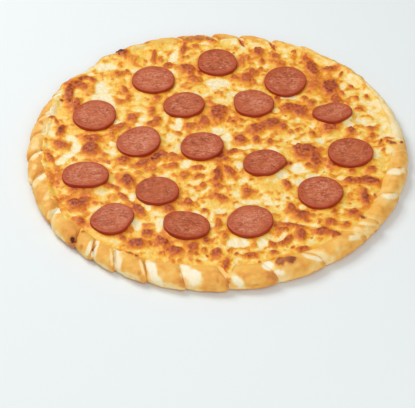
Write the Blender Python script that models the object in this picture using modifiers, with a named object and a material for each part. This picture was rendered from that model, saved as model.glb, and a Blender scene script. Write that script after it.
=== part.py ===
"""A round flat-bread pizza with a pleated rim, a baked cheese layer and seventeen slices of sausage.

Metres, +Z up. The origin is on the table under the middle of the pizza, and -Y is the side nearest the eater.
"""

import math
import random

import bmesh
import bpy
from mathutils import Euler, Matrix, Vector, noise

MM = 0.001

# Driving dimensions
MEAN_RADIUS = 160.6 * MM
RIM_HEIGHT = 13.2 * MM
CREST_SHARE = 0.42
FOOT_INSET = 10.0 * MM
BELLY_HEIGHT = 5.0 * MM
BASE_THICKNESS = 5.0 * MM
BORDER_HEIGHT = 9.0 * MM
HOLLOW_STEP = 3.0 * MM
CHEESE_LEVEL = 10.0 * MM
CHEESE_EDGE = 1.2 * MM
THINNEST_CHEESE = 2.5 * MM
SLICE_THICKNESS = 4.5 * MM
SLICE_FLOOR = 9.1 * MM
GAP = 0.45 * MM
SHARP_ANGLE = math.radians(38)

# The outline is a circle that is a little deeper than it is wide, with three faint lobes, one in this direction
OVAL_HEIGHT = 0.8 * MM
LOBE_HEIGHT = 1.25 * MM
LOBE_DIRECTION = math.radians(10)

# Bearings in degrees of the creases between the rim's pleats, anticlockwise from +X
CREASES = (
    3, 12, 24, 34, 43, 51, 60, 70, 81, 90, 102, 113, 123, 131, 141, 152, 164,
    173, 183, 196, 211, 224, 231, 239, 249, 260, 272, 285, 300, 315, 325, 338, 349, 356,
)  # fmt: skip

# Along one pleat, from its crease to the next: share of its length, and share of its full height
PLEAT_SHAPE = ((0.0, 0.0), (0.13, 0.42), (0.36, 0.8), (0.6, 1.0), (0.82, 1.0), (0.94, 0.72))
PLEAT_DROP = 4.2 * MM
PLEAT_RECESS = 0.14
PLEAT_LEAN = math.radians(3)
DEEPEST_PLEATS = math.radians(235)
PLEAT_SEED = 11

# Air bubbles that the oven raised in the rim: bearing in degrees, half width in degrees, height
BUBBLES = ((144, 4.5, 3.0 * MM), (58, 4.0, 1.6 * MM), (201, 5.0, 1.2 * MM), (293, 5.0, 1.4 * MM))

# Slices: place of the middle, width and depth in millimetres, then how far the face leans to -Y and to -X in degrees
SLICES = (
    (-55, 90, 38.0, 37.0, 0, -1),
    (1, 115, 36.6, 36.6, 0, 0),
    (61, 88, 37.2, 38.0, 2, 1),
    (-104, 41, 38.0, 38.0, 1, -1),
    (-28, 55, 36.0, 34.6, -2, 2),
    (33, 57, 35.6, 35.2, -1, 1),
    (100, 44, 34.8, 28.4, -6, 3),
    (-65, 6, 36.8, 37.0, 1, 4),
    (-12, 0, 36.2, 35.0, -1, 3),
    (-107, -37, 38.2, 33.0, -6, 1),
    (41, -21, 36.6, 33.8, -4, 3),
    (112, -8, 38.0, 36.8, -2, 1),
    (-48, -56, 36.0, 34.4, -3, 2),
    (84, -58, 37.4, 37.4, 0, 3),
    (-82, -90, 34.6, 34.4, 1, 2),
    (-23, -96, 36.4, 33.6, -5, -4),
    (27, -92, 37.4, 36.4, -1, 3),
)

# The rings of points on the cheese's top, as shares of its radius, and how far round a slice the top is pressed down
CHEESE_RINGS = (0.975, 0.93, 0.875, 0.82, 0.765, 0.705, 0.64, 0.57, 0.495, 0.415, 0.33, 0.24, 0.145, 0.06)
CHEESE_REACH = 12.0 * MM
BROAD_LUMPS = (19.0 * MM, 1.3 * MM)
SMALL_LUMPS = (9.0 * MM, 0.9 * MM)

SLICE_SIDES = 28
SLICE_EDGE = 0.8 * MM
SLICE_WOBBLE = 0.015
SLICE_LIFTS = {7: 0.9 * MM, 10: 0.9 * MM, 15: 1.0 * MM, 16: 0.6 * MM}

CRUST_COLOUR = (0.80, 0.45, 0.13)
CHEESE_COLOUR = (0.86, 0.50, 0.12)
SAUSAGE_COLOUR = (0.50, 0.14, 0.065)


def clear_scene():
    for obj in list(bpy.data.objects):
        bpy.data.objects.remove(obj)


def new_collection(name):
    collection = bpy.data.collections.new(name)
    bpy.context.scene.collection.children.link(collection)
    return collection


def new_material(name, colour, roughness):
    material = bpy.data.materials.new(name)
    material.use_nodes = True
    shader = material.node_tree.nodes["Principled BSDF"]
    shader.inputs["Base Color"].default_value = (*colour, 1.0)
    shader.inputs["Roughness"].default_value = roughness
    shader.inputs["Metallic"].default_value = 0.0
    return material


def outer_radius(bearing):
    lobes = LOBE_HEIGHT * math.cos(3 * (bearing - LOBE_DIRECTION))
    return MEAN_RADIUS - OVAL_HEIGHT * math.cos(2 * bearing) + lobes


def rim_width(bearing):
    """How far the bare crust reaches in from the outline: most at the near side, and more square on than aslant."""
    return (15.2 - 5.6 * math.sin(bearing) + 2.2 * math.cos(4 * bearing)) * MM


def pleat_strength(bearing):
    """The pleats stand out most at the near left, and are pressed almost flat opposite."""
    return 0.7 + 0.3 * math.cos(bearing - DEEPEST_PLEATS)


def bubble_height(bearing):
    """What the air bubbles add to the rim's crest at a bearing."""
    total = 0.0
    for middle, half_width, height in BUBBLES:
        away = math.degrees(bearing) - middle
        away = (away + 180) % 360 - 180
        total += height * math.exp(-((away / half_width) ** 2))
    return total


def rim_steps(per_pleat):
    """(bearing, share of the pleat's height) round the rim, with an equal number of steps in each pleat."""
    shape = PLEAT_SHAPE[:: len(PLEAT_SHAPE) // per_pleat]
    chooser = random.Random(PLEAT_SEED)
    steps = []
    for i, start in enumerate(CREASES):
        end = CREASES[(i + 1) % len(CREASES)]
        span = (end - start) % 360
        fullness = chooser.uniform(0.82, 1.0)
        for share, height in shape:
            steps.append((math.radians(start + share * span), height * fullness))
    return steps


def crust_section(bearing, fold):
    """The crust's outline on one bearing, as (inset from the outer edge, height) from under the rim to the base.

    fold is 0 in a crease and 1 on a pleat's crown.
    """
    sunk = (1 - fold) * pleat_strength(bearing)
    width = rim_width(bearing)
    crest = RIM_HEIGHT + bubble_height(bearing)
    crest_inset = CREST_SHARE * width
    slope = width - crest_inset
    drop = PLEAT_DROP * sunk
    recess = PLEAT_RECESS * width * sunk
    return (
        (FOOT_INSET, 0.0),
        (0.4 * FOOT_INSET + 0.4 * recess, 0.1 * BELLY_HEIGHT + 0.35 * drop),
        (0.1 * FOOT_INSET + 0.7 * recess, 0.5 * BELLY_HEIGHT + 0.2 * drop),
        (recess, BELLY_HEIGHT - 0.1 * drop),
        (0.1 * crest_inset + recess, 0.64 * crest - 0.45 * drop),
        (0.48 * crest_inset + 0.7 * recess, 0.88 * crest - 0.85 * drop),
        (crest_inset, crest - drop),
        (crest_inset + 0.42 * slope, 0.96 * crest - 0.9 * drop),
        (crest_inset + 0.76 * slope, 0.84 * crest - 0.4 * drop),
        (width, BORDER_HEIGHT),
        (width + HOLLOW_STEP, BASE_THICKNESS + HOLLOW_STEP / 2),
        (width + 2 * HOLLOW_STEP, BASE_THICKNESS),
    )


def lean_at(inset, bearing):
    """The pleats run slantwise: their outer ends lie further round than their inner ends."""
    across = min(1.0, inset / rim_width(bearing))
    return PLEAT_LEAN * (0.5 - across)


def rim_point(bearing, inset, height):
    turned = bearing + lean_at(inset, bearing)
    radius = outer_radius(bearing) - inset
    return Vector((radius * math.cos(turned), radius * math.sin(turned), height))


def lofted(name, rings):
    """A closed mesh from rings of equal length: a cap on the first, quads between each two, and a cap on the last."""
    shape = bmesh.new()
    loops = [[shape.verts.new(point) for point in ring] for ring in rings]
    count = len(loops[0])
    for lower, upper in zip(loops, loops[1:]):
        for i in range(count):
            j = (i + 1) % count
            shape.faces.new((lower[i], lower[j], upper[j], upper[i]))
    shape.faces.new(loops[0][::-1])
    shape.faces.new(loops[-1])
    bmesh.ops.recalc_face_normals(shape, faces=shape.faces)
    mesh = bpy.data.meshes.new(name)
    shape.to_mesh(mesh)
    shape.free()
    return mesh


def place_in(collection, name, mesh, material):
    mesh.materials.append(material)
    mesh.shade_smooth()
    mesh.set_sharp_from_angle(angle=SHARP_ANGLE)
    obj = bpy.data.objects.new(name, mesh)
    collection.objects.link(obj)
    return obj


def crust_mesh():
    sections = [
        [rim_point(bearing, inset, height) for inset, height in crust_section(bearing, fold)]
        for bearing, fold in rim_steps(len(PLEAT_SHAPE))
    ]
    return lofted("crust", list(zip(*sections)))


def slice_frame(number):
    """The matrix of a slice's lower face: its origin at the face's middle, and its Z axis the slice's own."""
    x, y, _, _, lean_near, lean_left = SLICES[number]
    lift = SLICE_LIFTS.get(number + 1, 0.0)
    turn = Euler((math.radians(lean_near), math.radians(-lean_left), 0.0))
    return Matrix.LocRotScale(Vector((x * MM, y * MM, SLICE_FLOOR + lift)), turn, None)


def slice_radius(number, bearing):
    """A slice isn't quite round: it is cut a little aslant, and its skin shrank unevenly in the oven."""
    _, _, width, depth, _, _ = SLICES[number]
    wide, deep = width * MM / 2, depth * MM / 2
    oval = wide * deep / math.hypot(deep * math.cos(bearing), wide * math.sin(bearing))
    wobble = math.cos(2 * bearing + 1.7 * number) + 0.5 * math.cos(3 * bearing + 2.3 * number)
    return oval * (1 + SLICE_WOBBLE * wobble)


def under_slices(x, y, height):
    """The height, level with the slice that lies over it, and no higher than that within reach of a slice."""
    for number, (slice_x, slice_y, width, depth, _, _) in enumerate(SLICES):
        away = Vector((x - slice_x * MM, y - slice_y * MM))
        radius = (width + depth) * MM / 4
        if away.length > radius + CHEESE_REACH:
            continue
        covered = away.length < radius
        if not covered:
            away *= radius / away.length
        frame = slice_frame(number)
        normal = frame.to_3x3() @ Vector((0, 0, 1))
        plane = frame.translation.z - (normal.x * away.x + normal.y * away.y) / normal.z
        height = plane - GAP if covered else min(height, plane - GAP)
    return height


def cheese_relief(x, y):
    """The lumps and hollows of shredded cheese that melted together."""
    total = 0.0
    for layer, (width, height) in enumerate((BROAD_LUMPS, SMALL_LUMPS)):
        total += height * noise.noise(Vector((x / width, y / width, layer + 0.5)))
    return total


def cheese_mesh():
    """The cheese lies in the crust's hollow: its underside follows the crust, and its top is lumpy."""
    steps = rim_steps(len(PLEAT_SHAPE) // 2)
    bearings = [bearing for bearing, _ in steps]

    def ring(inset_past_border, height):
        return [rim_point(b, rim_width(b) + inset_past_border, height) for b in bearings]

    underside = [
        ring(2 * HOLLOW_STEP, BASE_THICKNESS + GAP),
        ring(HOLLOW_STEP, BASE_THICKNESS + HOLLOW_STEP / 2 + GAP),
        ring(0.0, BORDER_HEIGHT + GAP),
    ]
    edge = ring(0.0, BORDER_HEIGHT + GAP + CHEESE_EDGE)
    top = []
    for share in CHEESE_RINGS:
        points = []
        for rim in edge:
            x, y = share * rim.x, share * rim.y
            height = max(CHEESE_LEVEL + cheese_relief(x, y), BASE_THICKNESS + THINNEST_CHEESE)
            points.append(Vector((x, y, under_slices(x, y, height))))
        top.append(points)
    return lofted("cheese", [*underside, edge, *top])


def slice_mesh(number):
    shape = bmesh.new()
    bmesh.ops.create_cone(
        shape, cap_ends=True, segments=SLICE_SIDES, radius1=1.0, radius2=1.0, depth=SLICE_THICKNESS
    )
    for vertex in shape.verts:
        bearing = math.atan2(vertex.co.y, vertex.co.x)
        radius = slice_radius(number, bearing)
        vertex.co.x = radius * math.cos(bearing)
        vertex.co.y = radius * math.sin(bearing)
        vertex.co.z += SLICE_THICKNESS / 2
    mesh = bpy.data.meshes.new(f"sausage_{number + 1:02d}")
    shape.to_mesh(mesh)
    shape.free()
    return mesh


def add_slices(collection, material):
    for number in range(len(SLICES)):
        mesh = slice_mesh(number)
        obj = place_in(collection, mesh.name, mesh, material)
        obj.matrix_world = slice_frame(number)
        edge = obj.modifiers.new("rounded edge", "BEVEL")
        edge.width = SLICE_EDGE
        edge.segments = 1
        edge.limit_method = "ANGLE"
        edge.angle_limit = math.radians(45)


def centre_on_origin(collection):
    """Shift the pizza sideways, so that the origin is under the middle of the box round its crust."""
    points = [vertex.co for vertex in collection.objects["crust"].data.vertices]
    for axis in (0, 1):
        values = [point[axis] for point in points]
        middle = (min(values) + max(values)) / 2
        for obj in collection.objects:
            obj.location[axis] -= middle


def main():
    clear_scene()
    pizza = new_collection("pizza")
    place_in(pizza, "crust", crust_mesh(), new_material("baked crust", CRUST_COLOUR, 0.6))
    place_in(pizza, "cheese", cheese_mesh(), new_material("baked cheese", CHEESE_COLOUR, 0.35))
    add_slices(pizza, new_material("sausage", SAUSAGE_COLOUR, 0.45))
    centre_on_origin(pizza)


main()
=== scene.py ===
"""The looks of a round sausage pizza, dressed round its solids.

Metres, +Z up. The origin is on the table under the middle of the pizza, and -Y is the near side.
"""

import math

import bpy
import numpy as np
from mathutils import Matrix, Vector


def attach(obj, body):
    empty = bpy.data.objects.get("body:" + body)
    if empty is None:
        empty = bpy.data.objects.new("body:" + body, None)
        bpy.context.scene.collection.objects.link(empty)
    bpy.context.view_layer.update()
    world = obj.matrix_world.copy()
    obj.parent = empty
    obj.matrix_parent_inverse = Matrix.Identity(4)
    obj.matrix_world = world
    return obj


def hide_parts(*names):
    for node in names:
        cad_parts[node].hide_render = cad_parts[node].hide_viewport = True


MM = 0.001

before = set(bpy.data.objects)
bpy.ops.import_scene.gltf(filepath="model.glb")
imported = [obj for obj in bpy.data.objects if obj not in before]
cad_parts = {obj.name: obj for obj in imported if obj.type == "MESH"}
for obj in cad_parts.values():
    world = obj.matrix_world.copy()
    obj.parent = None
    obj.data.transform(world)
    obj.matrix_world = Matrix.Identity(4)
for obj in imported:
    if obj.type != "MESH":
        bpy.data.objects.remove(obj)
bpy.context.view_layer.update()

# The picture that the camera repeats, in pixels, and where it shows the origin
PICTURE_WIDTH = 415
PICTURE_HEIGHT = 408
ORIGIN_PIXEL = (217.2, 157.65)
FOCAL_PIXELS = 1588
CAMERA_DISTANCE = 1.34
CAMERA_ELEVATION = math.radians(40.9)
SENSOR_MM = 36

# The crust's driving dimensions, as in its solid
MEAN_RADIUS = 160.6 * MM
OVAL_HEIGHT = 0.8 * MM
LOBE_HEIGHT = 1.25 * MM
LOBE_DIRECTION = math.radians(10)
RIM_WIDTH_IN_MM = 15.2
NEAR_WIDENING_IN_MM = 5.6
WIDTH_WAVER_IN_MM = 2.2
RIM_HEIGHT = 13.2 * MM
CREST_SHARE = 0.42
FOOT_INSET = 10.0 * MM
BELLY_HEIGHT = 5.0 * MM
BASE_THICKNESS = 5.0 * MM
BORDER_HEIGHT = 9.0 * MM
HOLLOW_STEP = 3.0 * MM
PLEAT_DROP = 4.6 * MM
PLEAT_RECESS = 0.16
PLEAT_LEAN = math.radians(4)
CRUST_SHIFT = (-1.0 * MM, 0.53 * MM)
BUBBLES = ((144, 4.5, 3.0 * MM), (58, 4.0, 1.6 * MM), (201, 5.0, 1.2 * MM), (293, 5.0, 1.4 * MM))

# Where the rim lies lower than its solid, and where its edge lies further out or in:
# bearing and half width in degrees, how far up or out
LOW_RIM = ((136, 12.0, -3.6 * MM), (98, 6.0, -1.2 * MM))
SHIFTED_EDGE = ((136, 11.0, -2.4 * MM), (215, 5.0, 1.8 * MM))

# The rim's pleats: bearing of the crease that each starts from, that crease's depth,
# the share that stayed pale, and how pale it is
PLEATS = (
    (3, 0.3, 0.2, 0.3), (12, 0.25, 0.45, 0.3), (24, 0.2, 0.5, 0.3), (34, 0.2, 0.5, 0.3),
    (43, 0.2, 0.5, 0.3), (51, 0.2, 0.5, 0.3), (60, 0.25, 0.3, 0.3), (70, 0.8, 0.1, 0.6),
    (81, 0.8, 0.1, 0.6), (90, 1.0, 0.15, 0.4), (102, 0.45, 0.1, 0.3), (113, 0.45, 0.1, 0.3),
    (123, 0.4, 0.25, 0.4), (131, 0.4, 0.25, 0.4), (141, 0.4, 0.25, 0.3), (152, 0.45, 0.2, 0.3),
    (164, 0.5, 0.15, 0.3), (173, 0.5, 0.15, 0.3), (182, 0.7, 0.12, 0.4), (193, 0.85, 0.12, 0.4),
    (211, 1.0, 0.16, 0.4), (224, 1.0, 0.08, 0.2), (231, 1.0, 0.18, 0.4), (239, 1.0, 0.2, 0.4),
    (249, 0.95, 0.3, 0.4), (260, 1.0, 0.34, 0.5), (272, 0.9, 0.16, 0.4), (286, 0.55, 0.15, 0.5),
    (301, 0.5, 0.15, 0.5), (317, 0.45, 0.12, 0.4), (324, 0.85, 0.1, 0.3), (338, 0.55, 0.2, 0.15),
    (350, 0.55, 0.2, 0.15), (357, 0.45, 0.12, 0.4),
)

# Along one pleat, from its crease to the next: share of its length, and share of its full height
PLEAT_SHAPE = (
    (0.0, 0.0), (0.06, 0.22), (0.2, 0.6), (0.4, 0.86), (0.62, 1.0),
    (0.86, 1.0), (0.95, 0.86), (0.985, 0.6), (1.0, 0.0),
)
STEPS_PER_PLEAT = 30
STEPS_PER_SPAN = 4
UNDERSIDE_RINGS = (0.1, 0.4, 0.7, 0.88)
CREST_ROW = 6

CHEESE_LEVEL = 10.2 * MM
CHEESE_GRID = 300
CHEESE_LAP = 1.4 * MM

# Where the cheese ran up on the rim: bearing in degrees, half width in degrees, how far
CHEESE_TONGUES = (
    (114, 13.0, 5.5 * MM), (150, 20.0, 6.5 * MM), (130, 9.0, 3.0 * MM), (200, 7.0, 4.5 * MM),
    (206, 5.0, 3.0 * MM), (76, 14.0, 3.5 * MM), (184, 8.0, 5.0 * MM), (191, 3.0, 1.5 * MM),
    (216, 3.0, 3.0 * MM), (170, 3.0, 2.0 * MM), (274, 1.8, 12.0 * MM), (316, 6.0, 2.0 * MM),
    (36, 22.0, 6.5 * MM), (4, 14.0, 4.5 * MM),
)

# Browned blisters on the cheese: middle, length and breadth in pixels, how brown in percent,
# and if the length is tilted, by how many degrees, right end up. A few rows are painted shade
# as well: dark marks under slices' lower edges, and thin lines along a bubble's edge.
BLISTERS = (
    # the far left
    (122, 53, 13, 7, 97, -10), (154, 56, 12, 5, 80, 80), (167, 66, 10, 5, 86, 20), (187, 69, 17, 8, 88, -5),
    (191, 74, 8, 4, 80), (125, 91, 11, 6, 72, -65), (128, 99, 8, 5, 66, 80), (120, 102, 14, 4, 62),
    (119, 75, 14, 6, 66, 5), (183, 51, 12, 5, 72, 70), (195, 47, 9, 4, 64), (189, 39.3, 12, 5, 74, 18),
    (199, 38, 16, 5.5, 78), (210, 40, 15, 5, 80, -20), (61.2, 130.7, 10, 7, 95, 55),
    (62, 146, 17, 8, 74, -15), (92, 139, 20, 10, 82), (90, 149, 18, 13, 92), (50, 158, 11, 5, 82, -50),
    (132, 119, 11, 10, 72), (118, 128, 24, 5, 74, 12), (112, 134, 10, 5, 64, 30), (157, 98, 9, 6, 74),
    (152, 111, 9, 7, 70, 80), (153, 123.5, 18, 6, 70, 15), (157, 120, 8, 4, 76), (218, 113, 18, 17, 90),
    (204, 122, 11, 10, 84, 40), (190, 126, 13, 6, 76, 5), (178, 133, 6, 4, 66), (173, 156, 12, 5, 70, 10),
    # The rows at (156, 158), (162, 155) and (220, 156) are partly browned cheese and partly painted shade
    # under slices' lower edges
    (156, 158, 15, 8, 100, 25), (183, 176, 9, 10, 62, 80), (162, 155, 12, 9, 84, -30),
    (124, 160, 14, 8, 90, 10), (142, 164, 15, 6, 88, 12), (220, 156, 12, 9, 96, 30), (62, 101, 4, 2, 97),
    (78, 84.5, 17, 6.5, 88, -12), (85.5, 88, 6, 7, 84), (69.5, 93.5, 24, 9, 92, 84),
    # The thin rows at (84, 78.8) and (92.5, 80.7) are painted shadow, cast by a bubble's edge onto its burnt
    # ring
    (76, 105.5, 13, 8, 78, 50), (84, 78.8, 13, 3.0, 95, 8), (92.5, 80.7, 11, 3.0, 97, -30),
    (90, 89, 10, 15, 50), (57, 174, 8, 18, 56), (51, 178, 8, 14, 60, 10), (56, 202, 18, 5, 62, 20),
    (194, 80, 18, 8, 66, -15), (133, 60, 14, 8, 54), (52, 118.3, 8, 2.5, 92, -12),
    (56.5, 122, 8, 2.5, 90, -62), (41, 123, 5, 4, 66), (185, 58, 10, 3, 62, 10), (200, 73, 8, 5, 84),
    (160, 61, 7, 5, 60), (104, 156, 8, 5, 60),
    # the far right
    (258, 52, 12, 10, 90), (262, 62, 6, 5, 74), (275, 57, 10, 6, 72), (247, 58, 8, 5, 60),
    (305, 60, 8, 6, 78, -30), (312, 69, 21, 12, 92, -62), (329, 69, 14, 5, 88, 8), (341, 75, 7, 3, 84, 50),
    (330, 88, 18, 17, 94), (336, 100, 14, 9, 80, -20), (342, 94, 6, 4, 68, -20), (247, 79, 14, 11, 84),
    (235, 79, 11, 5, 72), (253, 73, 11, 6, 74), (289, 108, 18, 8, 90, 12), (300, 111, 16, 13, 90, -30),
    (311, 103, 8, 5, 76), (257, 129, 18, 10, 88, 8), (272, 124, 20, 10, 90), (283, 128, 8, 8, 84),
    (265, 126, 26, 8, 80, 12), (240, 140, 12, 10, 92), (256, 139, 7, 7, 88), (269.5, 142.5, 6, 6, 88),
    (313, 134, 6, 6, 80), (330, 128, 16, 8, 84), (351, 131, 9, 5, 90, -5), (371, 129, 13, 4, 70, -5),
    (372, 136, 8, 6, 68, 60), (356, 99, 5, 5, 66), (366, 98, 6, 5, 68), (358, 110, 8, 3, 78),
    (351, 87, 5, 4, 66), (241, 63, 8, 12, 62), (279, 64, 14, 8, 60), (314, 86, 12, 15, 62, -60),
    (380.5, 142.5, 8, 2.5, 80, 60), (388, 139.3, 13, 2.4, 78, 8), (277, 98, 7, 5, 82), (290, 133, 7, 5, 64),
    (304, 99, 7, 5, 66), (241, 121, 7, 5, 60), (233, 123, 7, 5, 70), (329, 134, 7, 4, 62),
    (293, 53, 8, 5, 64), (391.5, 143.3, 12, 4, 90, -10), (401, 142.6, 4, 3, 88), (298, 148, 14, 7, 88, 8),
    (308, 150, 21, 10, 94, -10), (302, 154, 20, 11, 80, -32), (315.5, 158.5, 11, 18, 91, 8),
    (231, 152, 13, 4, 86, 25), (297, 131, 5, 3, 76),
    # the near left
    (79, 203, 24, 12, 94, 15), (127, 181, 15, 11, 94, -25), (110, 187, 26, 4, 72, -14),
    (123, 197, 14, 5, 74, -30), (138, 210.5, 18, 10, 88, -28), (81, 222, 10, 8, 84, -20),
    (137, 244, 20, 9, 94), (146.5, 234, 11, 8, 88), (169, 209, 11, 7, 90), (188, 203, 10, 9, 86),
    (204, 211, 7, 4, 78), (197, 168, 15, 3, 74), (199, 177, 12, 3, 80, 15), (218, 175, 19, 10, 90, 82),
    (229.5, 171, 15, 9, 86, -50), (218, 187, 9, 5, 80), (163, 243, 16, 9, 90, -35),
    (175, 251, 18, 8, 90, -12), (192, 248, 12, 9, 86), (216, 254, 10, 9, 88), (206, 241, 8, 6, 92),
    (218, 224, 14, 7, 66, 85), (221, 198, 18, 6, 82, -18), (226, 265, 12, 7, 84, 80),
    (228, 281, 8, 6, 72, 80), (136, 256, 4, 3, 95), (126, 252, 15, 1.6, 88, -20), (74, 191, 10, 6, 80),
    (83, 233, 4, 2, 90, 20), (173, 166, 14, 5, 66, 8), (150, 170, 20, 5, 62), (122, 238, 9, 5, 80, -30),
    (203, 186, 7, 6, 66), (162, 254, 8, 5, 64), (204, 251, 8, 5, 64), (225, 237, 7, 7, 62),
    (114, 197, 9, 6, 52), (180, 159, 7, 5, 64), (139, 174, 8, 5, 58), (190, 254, 7, 5, 66),
    # the near right
    (248, 192, 11, 7, 84), (287, 185, 9, 6, 90, -50), (289, 164, 8, 5, 88), (291, 208, 10, 8, 82),
    (301, 215, 15, 9, 90), (292, 226, 34, 4, 82, -8), (283, 230, 14, 5, 72), (301, 235, 11, 11, 90),
    (288, 240, 11, 6, 88, 40), (282, 244, 8, 4, 84, 10), (272, 245, 9, 5, 86, -25),
    (322, 231, 16, 5, 92, 10), (336, 234, 16, 4, 90, -16), (327, 232.5, 28, 4.5, 86, -5),
    (302, 249, 14, 3, 82, 8), (274, 253, 9, 4, 74), (250, 256, 12, 5, 88), (281, 262, 13, 8, 86, 5),
    (290.5, 260.5, 12, 8, 90, 8), (350, 181, 12, 6, 88), (370, 180.5, 20, 8, 94, -12),
    (358, 181, 30, 5, 88, 2), (365, 198, 18, 9, 94, -72), (354, 213, 14, 7, 90), (363, 218, 7, 4, 92, -20),
    (330, 222, 12, 6, 74), (346, 225, 7, 5, 80), (334, 212, 8, 5, 72, 80), (372, 170, 12, 6, 74),
    (352, 172, 8, 5, 74), (375, 196, 3, 3, 90), (308, 166, 9, 5, 76), (226, 159, 8, 5, 78),
    # The row at (332, 164) is painted shade at a slice's lower edge
    (332, 164, 12, 6, 86, -40), (254, 246, 7, 5, 54),
)

# Where each slice's outline departs from its solid's: degrees from +X, and how far out in mm
SLICE_CORNERS = (
    ((0, -1.3), (145, -0.5)), ((180, -1.3), (215, 0.3), (20, -0.6)), ((250, 0.6),),
    ((140, -1.2), (0, -1.4), (280, 0.9)), ((130, -1.5), (180, -0.9), (20, 0.5)),
    ((145, 2.0), (180, -1.0), (350, -0.4), (45, -1.3), (215, 0.8)), ((120, -3.2), (60, -1.6), (270, 2.4)),
    ((135, -1.2), (60, 0.6)), ((160, -0.8), (40, 0.8)), ((222, 2.0), (318, 2.0), (270, 0.6), (150, 0.8)),
    ((0, 0.4), (38, -2.0), (325, -2.4), (225, 1.2), (265, -0.7)), ((270, 1.0), (180, -0.8)),
    ((180, -1.0), (320, 0.8)), ((180, -1.2), (0, 1.2), (225, -0.8)),
    ((28, 0.4), (338, -2.4), (180, 1.2), (145, -1.4)),
    ((150, 1.2), (90, -1.6), (60, -1.3), (225, 1.6), (270, 1.6), (318, 1.4), (30, -1.1)),
    ((145, -1.8), (30, 0.6)),
)
CORNER_HALF_WIDTH = 26
SLICE_BEARINGS = 48
SLICE_STEPS = 96
SLICE_EDGE = 0.7 * MM
SLICE_BULGE = 0.15 * MM

# How far round, in radians, each bearing looks for the solid's edge
BEARING_REACH = 0.13

# Cheese that stayed white, in the same way
CREAM_POOLS = (
    (101.5, 91, 13, 22, 100, 10), (108, 99, 14, 9, 90, -20), (112, 109, 9, 18, 90), (58, 93, 12, 8, 100),
    (77.5, 93, 9, 8, 100), (84, 71.5, 24, 6, 80, 18), (50, 111, 16, 6, 90, 10), (46, 130, 12, 9, 60, 70),
    (72, 138.5, 15, 7, 95, -25), (76, 148, 14, 11, 100, 60), (61, 161, 13, 8, 100, 20),
    (69, 155, 17, 7, 95, 20), (173, 57, 14, 8, 90, 60), (217, 83, 30, 9, 90), (178.5, 124, 13, 8, 95, 85),
    (169, 138, 11, 8, 70, 70), (178, 149, 14, 8, 70, 80), (218, 131, 14, 10, 80), (226, 138, 12, 8, 90),
    (138, 110, 16, 6, 70), (113, 152, 10, 7, 80, 80), (229, 100, 9, 8, 70), (286, 97, 24, 5, 90),
    (276, 111, 8, 5, 70), (291, 136, 18, 5, 50, 5), (298, 120, 8, 6, 70, 80), (346, 120, 14, 6, 90),
    (372, 112, 12, 8, 50), (298, 168, 16, 11, 100), (283, 175, 14, 8, 80), (273, 203, 24, 5, 80),
    (143, 118.5, 12, 7, 80, 30), (165, 118, 7, 14, 60), (184, 166, 12, 5, 70), (237, 163, 8, 6, 60),
    (347, 94, 8, 7, 60), (219, 101, 14, 6, 60), (320, 140, 10, 6, 80), (305, 139, 12, 5, 60),
    (312, 176, 18, 6, 80, 10), (341, 178, 10, 6, 70), (283, 236, 12, 5, 70, 45), (132, 197, 9, 9, 95),
    (155, 214, 20, 5, 50, -5), (160, 225, 14, 9, 100, 80), (136, 225, 12, 11, 90, 80), (206, 222, 9, 5, 60),
    (271, 237, 9, 5, 70), (252, 202, 24, 6, 80), (238, 243, 25, 10, 100), (263, 243, 14, 9, 90),
    (355, 238, 16, 8, 80), (312, 197, 8, 20, 50), (372, 106, 44, 16, 40, -50), (388, 130, 18, 34, 50),
    (352, 80, 30, 9, 60, -35), (345, 112, 26, 12, 40), (228, 42, 18, 7, 70, -5), (256, 46, 20, 7, 70, -8),
    (290, 52, 24, 6, 50, -14), (322, 62, 22, 8, 50, -28), (352, 82, 18, 6, 70, -35),
    (380, 105, 16, 10, 60, -50), (392, 125, 12, 18, 60), (366, 122, 20, 8, 60, -20), (390, 151, 10, 8, 60),
    (47, 124, 14, 14, 50), (105.5, 67, 24, 8, 100), (124, 191.5, 10, 5, 70, -25), (210, 225, 12, 6, 80),
    (187, 163, 10, 6, 80), (295, 142.5, 10, 5, 80), (196, 213, 9, 6, 80), (116, 122.5, 10, 5, 80),
    (145, 205, 9, 6, 70), (220, 211, 10, 7, 90), (276, 239.5, 8, 5, 70), (343, 86, 8, 8, 80),
    (349, 125, 12, 5, 90), (240, 165.5, 9, 7, 90), (235, 94, 9, 6, 80), (243, 252, 9, 5, 60),
    (54, 113, 9, 5, 100, 20), (302, 207, 8, 5, 80), (273, 150, 9, 6, 90), (203, 216, 9, 6, 80),
    (375, 156, 6, 8, 70), (214, 168, 8, 5, 60), (226, 75, 11, 4, 50), (238, 206, 8, 6, 80),
    (196, 93, 8, 6, 80), (139, 125, 9, 5, 80), (329, 144, 8, 5, 60), (225, 105, 8, 5, 50),
    (112, 144, 8, 6, 80), (183, 139, 8, 6, 80), (193, 199, 9, 5, 70), (148, 208, 8, 6, 90),
    (171, 72, 8, 6, 80), (306, 130, 8, 5, 50), (94, 98, 8, 7, 100), (300, 182, 10, 10, 70),
    (145, 146, 10, 4, 30), (245, 148, 24, 3, 70), (195, 183, 16, 5, 50),
)

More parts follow.
